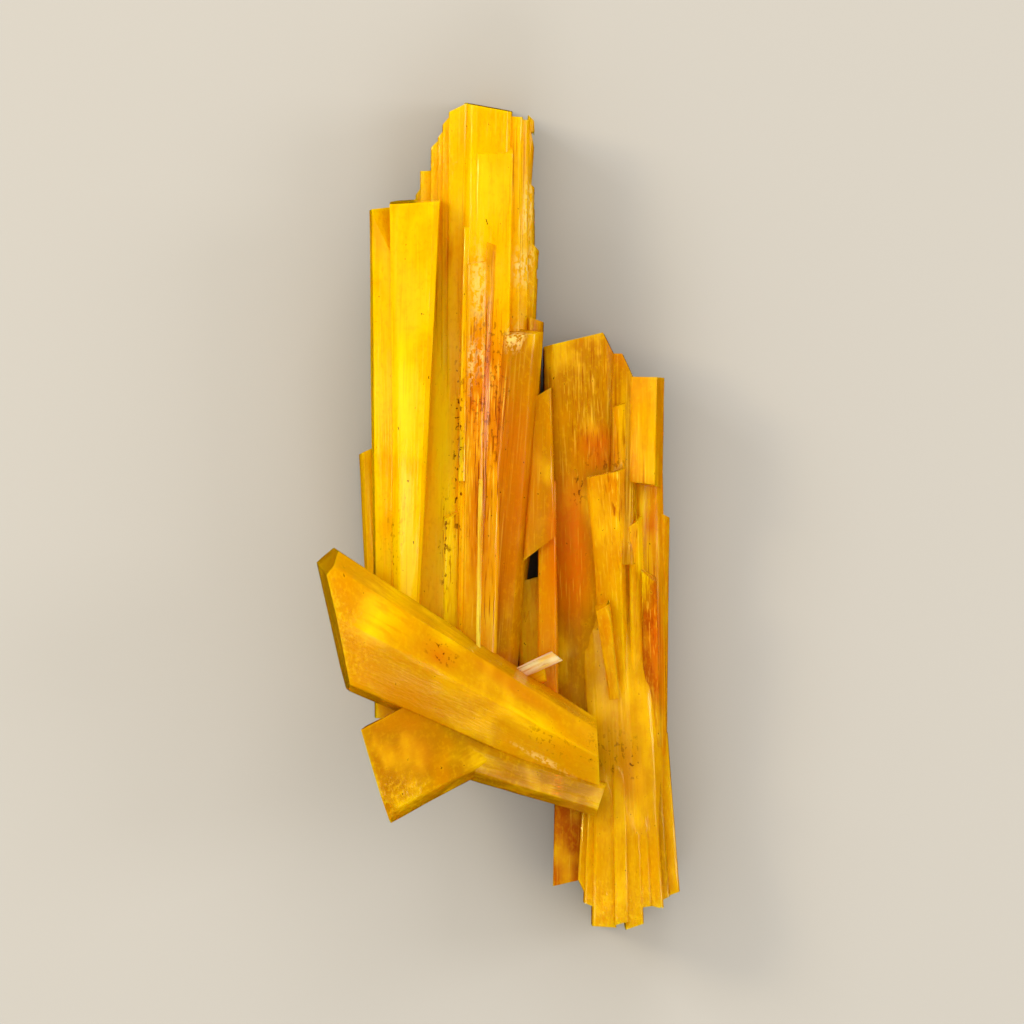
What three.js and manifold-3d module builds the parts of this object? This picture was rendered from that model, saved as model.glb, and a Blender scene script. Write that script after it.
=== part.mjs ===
// A legrandite specimen: two bundles of striated yellow prisms grown side by side, with a thick
// broken crystal lying across their front. Everything has grown together, so it is one solid.
// Millimetres, +Z up. The specimen lies on its back: +Y runs along the long prisms, +X runs
// across them, and the side that shows is up. The origin is on the resting plane, under the middle.
import * as THREE from 'three';
import { mergeVertices } from 'three/addons/utils/BufferGeometryUtils.js';
import Module from 'manifold-3d';

const wasm = await Module();
wasm.setup();

// Surface of the prisms
const RIB_PITCH = 0.42; // spacing of the coarse striations along a prism face
const RIB_DEPTH = 0.07; // how far a striation stands proud or lies back
const RIB_SHARE = 1.6; // a face narrower than this many pitches stays smooth
const BACK_HALF = 0.36; // half of the flat back of a section, as a share of the prism's width
const BACK_SHOULDER = 0.28; // where the back bevel meets the side, as a share of the prism's depth
const OVERLAP = 0.1; // added to every width, so that neighbours grow into each other

// Cross-sections, seen with the tip up: [across, towards the viewer] as shares of width and depth
const FLAT_FRONT = [[-0.5, 0.97], [-0.4, 1], [0.4, 1], [0.5, 0.97]];
const LEFT_FACING = [[-0.5, 0.93], [0.3, 1], [0.5, 0.97]];
const RIGHT_FACING = [[-0.5, 0.97], [-0.34, 1], [0.28, 0.94], [0.5, 0.84]];
const LOW_LEFT_EDGE = [[-0.5, 0.7], [-0.4, 0.93], [0.32, 1], [0.5, 1]];
const ROUNDED = [[-0.5, 0.6], [-0.3, 0.94], [0.1, 1], [0.36, 0.9], [0.5, 0.6]];
const KNIFE_RIGHT = [[-0.5, 0.74], [-0.4, 0.88], [0.1, 0.97], [0.22, 1], [0.5, 0.76]];
const TRUNK_FRONT = [[-0.5, 0.6], [-0.36, 0.94], [0.1, 1], [0.34, 0.96], [0.5, 0.74]];
const CROSS_FRONT = [[-0.5, 0.5], [-0.43, 0.76], [0.06, 1], [0.38, 0.88], [0.5, 0.5]];

// Each prism runs from the middle of its back at the foot to the middle of its back at the tip.
// wide and deep are [at the foot, at the tip]. tipFace and footFace tilt the end faces:
// [rise for each millimetre to the right, rise for each millimetre towards the viewer].
const leftBundle = {
  crown: {
    foot: [-1.5, -13.4, 0], tip: [-0.6, 24.9, 0], wide: [2.4, 2.85], deep: [9, 7.3],
    front: [[-0.5, 0.93], [-0.36, 1], [0.42, 1], [0.5, 0.96]], tipFace: [-0.16, -0.07],
  },
  crownLayer: {
    foot: [-0.4, 8, 6], tip: [-0.2, 22.5, 6.6], wide: [2, 2.1], deep: [2.1, 0.9],
    front: FLAT_FRONT, tipFace: [0.04, -1],
  },
  crownRight: {
    foot: [0.85, 9.5, 0.5], tip: [1.05, 24.2, 0.5], wide: [0.84, 0.76], deep: [6.9, 6.5],
    front: FLAT_FRONT, tipFace: [-0.05, -0.05],
  },
  crownRim: {
    foot: [1.45, 9.5, 0.8], tip: [1.6, 24, 0.8], wide: [0.84, 0.72], deep: [6.3, 6.1],
    front: RIGHT_FACING, tipFace: [-0.1, -0.05],
  },
  rimUpper: {
    foot: [1.62, 19.5, 1.4], tip: [2.02, 23.8, 1.4], wide: [0.6, 0.46], deep: [4.9, 4.9],
    front: RIGHT_FACING, tipFace: [-0.8, 0],
  },
  rimMiddle: {
    foot: [1.87, 15.8, 1.2], tip: [1.88, 19.9, 1.4], wide: [0.56, 0.52], deep: [5.1, 4.9],
    front: RIGHT_FACING, tipFace: [-0.7, 0],
  },
  rimLower: {
    foot: [1.9, 10.8, 1], tip: [2.12, 16.2, 1.1], wide: [0.6, 0.6], deep: [5.6, 5.3],
    front: RIGHT_FACING, tipFace: [-0.9, 0],
  },
  slab: {
    foot: [-0.45, -13.3, 0.3], tip: [1.55, 11.5, 0.3], wide: [2.6, 2.35], deep: [7.9, 8.1],
    front: RIGHT_FACING, tipFace: [-0.05, -0.06],
  },
  slabEdge: {
    foot: [1.7, -2, 1], tip: [2.27, 11.7, 1], wide: [0.6, 0.87], deep: [5.9, 6.1],
    front: RIGHT_FACING, tipFace: [-0.25, 0],
  },
  slabHeel: {
    foot: [0.95, -7, 1], tip: [1.75, -1.5, 1.2], wide: [0.7, 0.5], deep: [5.8, 5.6],
    front: RIGHT_FACING,
  },
  amberBand: {
    foot: [-3.75, -13.1, 0.7], tip: [-2.85, 18.5, 1], wide: [2.7, 1.75], deep: [8.1, 5.2],
    front: LEFT_FACING, tipFace: [0, -0.2],
  },
  amberStrip: {
    foot: [-2.9, -13, 4], tip: [-2.8, 1.5, 4], wide: [0.85, 0.85], deep: [4.9, 4],
    front: FLAT_FRONT, tipFace: [0.4, -0.4],
  },
  glossRib: {
    foot: [-1.7, -13.2, 3.5], tip: [-1.26, 16.4, 3.5], wide: [1.1, 1.15], deep: [5.9, 4.5],
    front: FLAT_FRONT, tipFace: [0.2, -0.3],
  },
  stainRib: {
    foot: [-1.35, -11, 3.5], tip: [-0.15, 17.4, 3.5], wide: [0.6, 1.1], deep: [5.6, 4.4],
    front: RIGHT_FACING, tipFace: [-0.3, -0.3],
  },
  threadRib: {
    foot: [-1.23, -11, 4], tip: [-1.05, 2.1, 4], wide: [0.24, 0.24], deep: [5.6, 5.3],
    front: FLAT_FRONT,
  },
  paleRib: {
    foot: [-2.2, 2, 3], tip: [-1.85, 19, 3], wide: [0.4, 0.32], deep: [5.7, 4.5],
    front: FLAT_FRONT, tipFace: [0, -0.4],
  },
  splay: {
    foot: [0.6, -13.2, 3.8], tip: [0.1, -2.8, 3.8], wide: [0.7, 1.2], deep: [4.4, 4],
    front: RIGHT_FACING, tipFace: [0.2, -0.6],
  },
  frontLeft: {
    foot: [-5.64, -12.8, 1], tip: [-5, 19, 5], wide: [1.1, 3], deep: [8.2, 4.1],
    front: [[-0.5, 0.93], [-0.3, 1], [0.36, 1], [0.5, 0.92]], tipFace: [0.08, -0.1],
  },
  farLeft: {
    foot: [-6.6, -12.2, 0.9], tip: [-6.76, 18.4, 3], wide: [1.7, 1.98], deep: [7.5, 5.6],
    front: LOW_LEFT_EDGE, tipFace: [0.15, 0],
  },
  sideShelf: {
    foot: [-7.3, -10.6, 0.9], tip: [-7.95, 3.9, 0.9], wide: [0.9, 1.05], deep: [2.4, 2],
    front: ROUNDED, tipFace: [0.42, 0],
  },
};

// Thin laths that step down the left side of the tall crystal:
// [middle, width, height of the tip, rise of the tip to the right, back, front]
const CROWN_STEPS = [
  [-2.42, 1.1, 24.75, 0.5, 0.5, 7.1],
  [-3.02, 0.66, 24.1, 1.2, 0.9, 6.8],
  [-3.42, 0.44, 23.2, 1.3, 1.1, 6.6],
  [-3.76, 0.6, 22.6, 1, 1.3, 6.4],
  [-4.32, 0.76, 20.9, 0.05, 1.5, 6.1],
  [-4.72, 0.38, 19.8, 1.4, 1.8, 5.8],
  [-5.16, 0.74, 19.1, 0.5, 2, 5.6],
];
const STEP_FOOT_Y = -11.6;
const STEP_LEAN = -0.25; // how far a lath's foot lies left of its tip

const rightBundle = {
  broad: {
    foot: [5.35, -16.5, 0], tip: [4.92, 10.6, 0], wide: [4.6, 4.4], deep: [5.8, 7.4],
    front: [[-0.5, 0.88], [-0.38, 0.96], [-0.1, 1], [0.35, 1], [0.5, 0.93]], tipFace: [0.22, 0],
  },
  seamUpper: {
    foot: [2.5, -2, 1.2], tip: [2.7, 7.35, 1.2], wide: [1.9, 1], deep: [6.4, 6.1],
    front: FLAT_FRONT, tipFace: [0.6, 0], footFace: [0.8, 0],
  },
  seamLower: {
    foot: [2.95, -13, 1], tip: [2.95, 2, 1], wide: [1.3, 1], deep: [6.9, 6.1],
    front: FLAT_FRONT,
  },
  shoulder: {
    foot: [7.4, -3, 0.8], tip: [7.47, 9.66, 0.8], wide: [1.5, 1.36], deep: [6.5, 6.3],
    front: FLAT_FRONT,
  },
  cornerBlock: {
    foot: [8.8, 1.3, 1.6], tip: [8.9, 8.25, 1.6], wide: [2.1, 2.16], deep: [5.7, 5.6],
    front: [[-0.5, 0.94], [-0.42, 1], [0.28, 1], [0.5, 0.68]], footFace: [-0.1, 0.1],
  },
  cornerRim: {
    foot: [9.43, 3.6, 2], tip: [9.73, 7.6, 2], wide: [0.5, 0.54], deep: [3, 3],
    front: RIGHT_FACING, tipFace: [-1.2, 0],
  },
  underBlock: {
    foot: [9.3, -14.6, 1.2], tip: [8.95, 4.6, 1.2], wide: [1.7, 1.74], deep: [4.7, 5.3],
    front: RIGHT_FACING,
  },
  outerLath: {
    foot: [9.6, -16, 1], tip: [9.75, 0.1, 1], wide: [1.1, 1.1], deep: [4, 4.9],
    front: RIGHT_FACING, tipFace: [-0.5, 0],
  },
  blade: {
    foot: [7.3, -13.6, 1.4], tip: [6.5, 3, 2.2], wide: [1.9, 2.78], deep: [5, 6],
    front: KNIFE_RIGHT, tipFace: [0.2, -0.1],
  },
  bladeWedge: {
    foot: [7, -11.1, 4], tip: [6.15, -4.8, 5], wide: [0.6, 0.9], deep: [2.8, 3],
    front: LEFT_FACING, tipFace: [0.5, -0.3],
  },
  innerLath: {
    foot: [7.5, -11, 1.8], tip: [7.2, 8.15, 2], wide: [0.7, 0.7], deep: [4.6, 5.5],
    front: FLAT_FRONT, tipFace: [0.3, -0.3],
  },
  middleLath: {
    foot: [8.2, -11, 1.8], tip: [7.72, 7.9, 2], wide: [0.7, 0.66], deep: [4.5, 5.2],
    front: FLAT_FRONT, tipFace: [-0.3, -0.3],
  },
  speckledLath: {
    foot: [8.6, -13.5, 1.4], tip: [8.15, 0.9, 2.5], wide: [1, 0.8], deep: [4.9, 5],
    front: RIGHT_FACING, tipFace: [0.5, -0.3],
  },
  orangeLath: {
    foot: [9.3, -14, 1.8], tip: [9, -2.4, 2.5], wide: [1, 0.9], deep: [4.2, 4.8],
    front: FLAT_FRONT, tipFace: [-0.8, -0.3],
  },
  trunk: {
    foot: [7.9, -21.5, 0], tip: [6.9, -4.5, 0], wide: [5.2, 5.6], deep: [6.9, 6.6],
    front: TRUNK_FRONT,
  },
  spur: {
    foot: [4.15, -22.2, 1.4], tip: [4.3, -15.4, 1.4], wide: [1.66, 1.7], deep: [4, 4.2],
    front: FLAT_FRONT, footFace: [0.25, 0],
  },
};

// Splayed laths of the broken foot: [middle, width, height of the foot, its rise to the right,
// middle at the top, back, front]
const FOOT_FAN = [
  [5.05, 0.62, -22.7, -1.8, 5.6, 1.6, 6.8],
  [5.5, 0.72, -23.7, -0.4, 5.9, 0.9, 7.3],
  [6.35, 1.45, -25, -0.05, 6.5, 0.4, 7.6],
  [7.4, 0.8, -24.8, 0.25, 7.2, 0, 7.8],
  [8.2, 1.08, -25, 0.3, 7.8, 0, 7.6],
  [8.9, 0.56, -23.8, 0.1, 8.4, 0.5, 7.4],
  [9.45, 0.92, -23.8, -0.35, 8.8, 0.8, 7.3],
  [10, 0.56, -23.3, 0.4, 9.3, 1.1, 7],
  [10.52, 0.76, -23, 0.3, 9.8, 1.5, 6.6],
];
const FAN_TOP_Y = -13.2;
const FAN_SINK = 1.4; // how much lower the front of a lath is where it runs into the trunk

const crossing = {
  across: {
    foot: [5.97, -14.73, 3.2], tip: [-10.23, -6.03, 6.4], wide: [4.1, 7.2], deep: [7.2, 7.8],
    front: CROSS_FRONT, tipFace: [0.88, -0.12], footFace: [0.6, 0],
  },
  lowerLedge: {
    foot: [6.1, -17.1, 4], tip: [-2.2, -14.5, 5], wide: [2.1, 2.4], deep: [5, 5],
    front: [[-0.5, 0.6], [-0.26, 0.92], [0.35, 1], [0.5, 0.96]], tipFace: [0.3, -0.05],
  },
  prong: {
    foot: [0.2, -11.6, 5.2], tip: [-7.14, -15.5, 6.8], wide: [5.7, 5.75], deep: [4.2, 5],
    front: [[-0.5, 0.6], [-0.4, 0.92], [0.2, 1], [0.5, 0.98]], tipFace: [-0.2, 0.04],
  },
  stub: {
    foot: [1, -10.4, 4], tip: [3.75, -9, 4.2], wide: [1.9, 1.7], deep: [4.2, 4],
    front: [[-0.5, 0.55], [-0.36, 1], [0.2, 0.95], [0.5, 0.6]], tipFace: [-0.3, -0.3],
  },
  sheenLath: {
    foot: [1.1, -9.55, 5], tip: [3.5, -8.45, 5.2], wide: [0.6, 0.66], deep: [3.4, 3.4],
    front: FLAT_FRONT, tipFace: [0.5, 0],
  },
  sprout: {
    foot: [1, -8.4, 0.8], tip: [2.05, -4.7, 1], wide: [0.9, 1.1], deep: [5.9, 5.6],
    front: ROUNDED, tipFace: [-0.3, -0.2],
  },
  web: {
    foot: [2.5, -13.2, 0.2], tip: [2, -3.85, 0.2], wide: [2.4, 1.7], deep: [6.9, 6.2],
    front: FLAT_FRONT, tipFace: [0.2, 0],
  },
};

// Cleavage and growth faces cut after the prisms are formed: a point on the face and its outward
// normal
const CLEAVAGES = {
  crown: [{ at: [-2.02, 25.1, 7.2], facing: [-0.7, 0.25, 0.66] }],
  farLeft: [{ at: [-7.75, 17.9, 8.4], facing: [0.62, 0.37, 0.69] }],
  slab: [{ at: [1.5, 11.3, 6.4], facing: [0, 0.95, 0.32] }],
  broad: [{ at: [6.51, 10.89, 0], facing: [0.894, 0.447, 0.03] }],
  shoulder: [{ at: [7.65, 9.66, 0], facing: [0.9, 0.42, 0.03] }],
  across: [
    { at: [-10.89, -3.33, 9], facing: [-0.72, 0.68, 0.15] },
    { at: [-9.4, -10.4, 10], facing: [-0.8, -0.5, 0.35] },
  ],
  prong: [{ at: [-5.2, -18.3, 11], facing: [-0.3, -0.6, 0.74] }],
};

// Open pits and a crevice: centre, size and turn about the viewing axis in degrees
const PITS = [
  { at: [4.66, 1.85, 7.7], size: [1, 0.34, 1.3], turn: -44 },
  { at: [8.22, -15.5, 8.3], size: [0.28, 0.55, 0.7], turn: 14 },
  { at: [-2.3, 3.9, 7.9], size: [0.24, 1.5, 0.9], turn: 2 },
];
const CUTTER = 60; // side of the block that cuts a face, larger than the specimen

// A fixed, even-looking scatter between -1 and 1 for the height of striation number n.
function scatter(n) {
  const wave = Math.sin(n * 12.9898) * 43758.5453;
  return 2 * (wave - Math.floor(wave)) - 1;
}

// Adds striations to the front of a section, as small folds that run the length of the prism.
function striate(front, width, depth) {
  const folded = [front[0]];
  for (let i = 1; i < front.length; i += 1) {
    const [u0, v0] = front[i - 1];
    const [u1, v1] = front[i];
    const span = (u1 - u0) * width;
    const ribs = span > RIB_SHARE * RIB_PITCH ? Math.round(span / RIB_PITCH) : 1;
    for (let rib = 1; rib < ribs; rib += 1) {
      const share = rib / ribs;
      const lift = (RIB_DEPTH * scatter(rib + 7 * i + width)) / depth;
      folded.push([u0 + (u1 - u0) * share, v0 + (v1 - v0) * share + lift]);
    }
    folded.push([u1, v1]);
  }
  return folded;
}

// The closed outline of a section: striated front, bevelled sides and a flat back.
function sectionShape(front, width, depth) {
  const back = [
    [0.5, BACK_SHOULDER * front.at(-1)[1]], [BACK_HALF, 0],
    [-BACK_HALF, 0], [-0.5, BACK_SHOULDER * front[0][1]],
  ];
  const outline = [...striate(front, width, depth), ...back];
  return new THREE.Shape(outline.map(([u, v]) => new THREE.Vector2(u, v)));
}

// Turns a closed three.js geometry into a solid that can be joined and cut.
function toSolid(geometry) {
  geometry.deleteAttribute('normal');
  geometry.deleteAttribute('uv');
  const merged = mergeVertices(geometry);
  return new wasm.Manifold(new wasm.Mesh({
    numProp: 3,
    vertProperties: merged.attributes.position.array,
    triVerts: new Uint32Array(merged.index.array),
  }));
}

// Reverses every triangle, for a shape whose placing has mirrored it.
function turnFacesOver(geometry) {
  const position = geometry.attributes.position;
  const swap = new THREE.Vector3();
  for (let i = 0; i < position.count; i += 3) {
    swap.fromBufferAttribute(position, i + 1);
    position.setXYZ(i + 1, position.getX(i + 2), position.getY(i + 2), position.getZ(i + 2));
    position.setXYZ(i + 2, swap.x, swap.y, swap.z);
  }
}

// One prism, drawn as a unit extrusion and then stretched between its foot and its tip.
function prism({ foot, tip, wide, deep, front, tipFace = [0, 0], footFace = [0, 0] }) {
  const shape = sectionShape(front, Math.max(...wide), Math.max(...deep));
  const geometry = new THREE.ExtrudeGeometry(shape, { depth: 1, steps: 1, bevelEnabled: false });
  const axis = new THREE.Vector2(tip[0] - foot[0], tip[1] - foot[1]);
  const length = axis.length();
  axis.normalize();
  const across = new THREE.Vector2(axis.y, -axis.x);
  const position = geometry.attributes.position;
  for (let i = 0; i < position.count; i += 1) {
    const share = position.getZ(i);
    const side = position.getX(i) * (THREE.MathUtils.lerp(wide[0], wide[1], share) + OVERLAP);
    const height = position.getY(i) * THREE.MathUtils.lerp(deep[0], deep[1], share);
    const [rise, lean] = share > 0.5 ? tipFace : footFace;
    const along = share * length + rise * side + lean * height;
    position.setXYZ(
      i,
      foot[0] + axis.x * along + across.x * side,
      foot[1] + axis.y * along + across.y * side,
      THREE.MathUtils.lerp(foot[2], tip[2], share) + height,
    );
  }
  turnFacesOver(geometry);
  return toSolid(geometry);
}

// Cuts away all that lies beyond a face.
function cleave(solid, { at, facing }) {
  const block = new THREE.BoxGeometry(CUTTER, CUTTER, CUTTER);
  block.translate(0, 0, CUTTER / 2);
  const normal = new THREE.Vector3(...facing).normalize();
  const turn = new THREE.Quaternion().setFromUnitVectors(new THREE.Vector3(0, 0, 1), normal);
  block.applyQuaternion(turn);
  block.translate(...at);
  return solid.subtract(toSolid(block));
}

function crownSteps() {
  return CROWN_STEPS.map(([middle, width, top, rise, back, face]) => prism({
    foot: [middle + STEP_LEAN, STEP_FOOT_Y, back], tip: [middle, top, back],
    wide: [width, width], deep: [face - back, face - back],
    front: FLAT_FRONT, tipFace: [rise, -0.05],
  }));
}

function footFan() {
  return FOOT_FAN.map(([middle, width, bottom, rise, top, back, face]) => prism({
    foot: [middle, bottom, back], tip: [top, FAN_TOP_Y, back],
    wide: [width, width], deep: [face - back, face - back - FAN_SINK],
    front: FLAT_FRONT, footFace: [rise, 0.04],
  }));
}

function pit({ at, size, turn }) {
  const block = new THREE.BoxGeometry(...size);
  block.rotateZ(THREE.MathUtils.degToRad(turn));
  block.translate(...at);
  return toSolid(block);
}

// All the prisms of one bundle, each with its own cleavage faces.
function grow(bundle) {
  return Object.entries(bundle).map(([name, crystal]) => (
    (CLEAVAGES[name] ?? []).reduce(cleave, prism(crystal))
  ));
}

function specimenSolid() {
  const crystals = [
    ...grow(leftBundle), ...crownSteps(), ...grow(rightBundle), ...footFan(), ...grow(crossing),
  ];
  const grown = crystals.reduce((whole, crystal) => whole.add(crystal));
  return PITS.map(pit).reduce((whole, hollow) => whole.subtract(hollow), grown);
}

function specimenGeometry() {
  const mesh = specimenSolid().getMesh();
  const geometry = new THREE.BufferGeometry();
  geometry.setAttribute('position', new THREE.BufferAttribute(mesh.vertProperties, 3));
  geometry.setIndex(new THREE.BufferAttribute(mesh.triVerts, 1));
  geometry.computeVertexNormals();
  return geometry;
}

const crystalYellow = new THREE.MeshStandardMaterial({
  color: 0xeeaa08, roughness: 0.16, metalness: 0, flatShading: true,
});

const cluster = new THREE.Mesh(specimenGeometry(), crystalYellow);
cluster.name = 'legrandite_cluster';

const specimen = new THREE.Group();
specimen.add(cluster);

export default specimen;
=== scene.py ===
# A legrandite specimen lying on its back: two bundles of striated yellow prisms, with a thick
# broken crystal across their front. The imported solid is replaced by one finely finished mesh,
# grown from the same prisms, whose faces carry striations, pits, broken edges and staining, with
# some painted highlights and painted shade in their colour.
import math
import random
from dataclasses import dataclass

import bmesh
import bpy
import numpy as np
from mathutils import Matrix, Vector


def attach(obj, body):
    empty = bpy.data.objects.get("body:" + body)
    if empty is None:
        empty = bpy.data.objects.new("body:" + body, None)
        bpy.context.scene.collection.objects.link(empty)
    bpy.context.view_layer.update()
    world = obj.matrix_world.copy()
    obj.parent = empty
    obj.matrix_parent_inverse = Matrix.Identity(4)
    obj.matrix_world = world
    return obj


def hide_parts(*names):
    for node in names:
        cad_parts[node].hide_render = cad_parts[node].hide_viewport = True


MM = 0.001

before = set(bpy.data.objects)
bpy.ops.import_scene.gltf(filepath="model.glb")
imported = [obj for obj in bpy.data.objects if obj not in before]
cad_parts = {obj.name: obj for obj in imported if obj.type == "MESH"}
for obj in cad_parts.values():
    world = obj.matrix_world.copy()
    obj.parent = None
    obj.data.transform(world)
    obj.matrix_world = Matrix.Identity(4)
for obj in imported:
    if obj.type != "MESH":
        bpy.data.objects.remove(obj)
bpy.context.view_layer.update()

# How finely the faces are worked, in mm
COLUMN_PITCH = 0.2  # spacing of the lengthwise lines that carry the striations
RING_PITCH = 1.5  # spacing of the rings along a prism
EDGE_CHAMFER = 0.08  # worn edge between two prism faces
STRIATION_DEPTH = 0.07  # from the crest to the trough of a striation
STRIATION_WIDTH = 0.3
STRIATION_LENGTH = 11
GROWTH_STEP_DEPTH = 0.14  # broad, shallow growth steps under the striations
GROWTH_STEP_WIDTH = 1.3
GROWTH_STEP_LENGTH = 24
RELIEF_MIDDLE = 0.65  # the noise value that leaves a face where it is
END_ALLOWANCE = 0.3  # how far a prism is drawn past its end faces, before they are cut
CUT_TOLERANCE = 0.0005
SAME_PLACE = 1e-7  # in metres
SMOOTH_ANGLE = 24  # ridges sharper than this stay crisp, in degrees
TRANSMISSION = 0.5

FLOOR_SIZE = 1.2  # in metres
STUDIO_COLOUR = "#FFF3E0"
STUDIO_BRIGHTNESS = 1.85

# The camera looks straight down, as in the photo
FRAME_WIDTH = 61.44 * MM
CAMERA_PLACE = (0.81 * MM, 0.15 * MM, 400 * MM)
SENSOR_WIDTH = 36
NEAREST_SEEN = 0.01  # in metres
SHARPEST_HEIGHT = 7 * MM  # height on the specimen at which the frame has its width
TEXTURE_SHIFT = 17.3  # how far apart two prisms read the same relief, so that none repeat

# Growth colours of the prisms, from pale to dark, and how strongly each one's striations show as
# painted highlight on their crests and painted shade in their troughs. The near-white one is a
# painted highlight, and one lemon is lightened as painted light for a band that lies in shade
PAINTED_SHEEN = ("#FFF4C8", 0.6)
PALE_LEMON = ("#FFE24A", 0.4)
LEMON = ("#FFC800", 0.2)
# Lemon lightened as painted light, for the amber band that lies in shade
SHADE_LIFTED_LEMON = ("#FFC60C", 0.2)
CANARY = ("#FABE00", 0.2)
GOLD = ("#E2A802", 0.35)
AMBER = ("#D49202", 0.3)
CLOUDED = ("#D29C02", 0.05)
SHADED = ("#B07E02", 0.05)
HONEY = ("#B88002", 0.25)
TAWNY = ("#CC8402", 0.2)
SLATED = ("#B87C02", 0.15)
BURNT = ("#A85602", 0.3)

# Cross-sections, seen with the tip up: (across, towards the viewer) as shares of width and depth
FLAT_FRONT = ((-0.5, 0.97), (-0.4, 1), (0.4, 1), (0.5, 0.97))
LEFT_FACING = ((-0.5, 0.93), (0.3, 1), (0.5, 0.97))
RIGHT_FACING = ((-0.5, 0.97), (-0.34, 1), (0.28, 0.94), (0.5, 0.84))
LOW_LEFT_EDGE = ((-0.5, 0.7), (-0.4, 0.93), (0.32, 1), (0.5, 1))
ROUNDED = ((-0.5, 0.6), (-0.3, 0.94), (0.1, 1), (0.36, 0.9), (0.5, 0.6))
KNIFE_RIGHT = ((-0.5, 0.74), (-0.4, 0.88), (0.1, 0.97), (0.22, 1), (0.5, 0.76))
TRUNK_FRONT = ((-0.5, 0.6), (-0.36, 0.94), (0.1, 1), (0.34, 0.96), (0.5, 0.74))
CROSS_FRONT = ((-0.5, 0.5), (-0.43, 0.76), (0.06, 1), (0.38, 0.88), (0.5, 0.5))
BACK_HALF = 0.36  # half of the flat back, as a share of the width
BACK_SHOULDER = 0.28  # where the back bevel meets the side, as a share of the depth
OVERLAP = 0.1  # added to every width, so that neighbours grow into each other


@dataclass
class Crystal:
    """A prism from the middle of its back at the foot to the middle of its back at the tip, in mm.

    wide and deep are (at the foot, at the tip). tip_face and foot_face tilt the end faces:
    (rise for each mm to the right, rise for each mm towards the viewer). A cleavage is a face cut
    afterwards: a point on it and its outward normal.
    """
    foot: tuple
    tip: tuple
    wide: tuple
    deep: tuple
    front: tuple
    tint: tuple
    tip_face: tuple = (0, 0)
    foot_face: tuple = (0, 0)
    cleavages: tuple = ()


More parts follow.
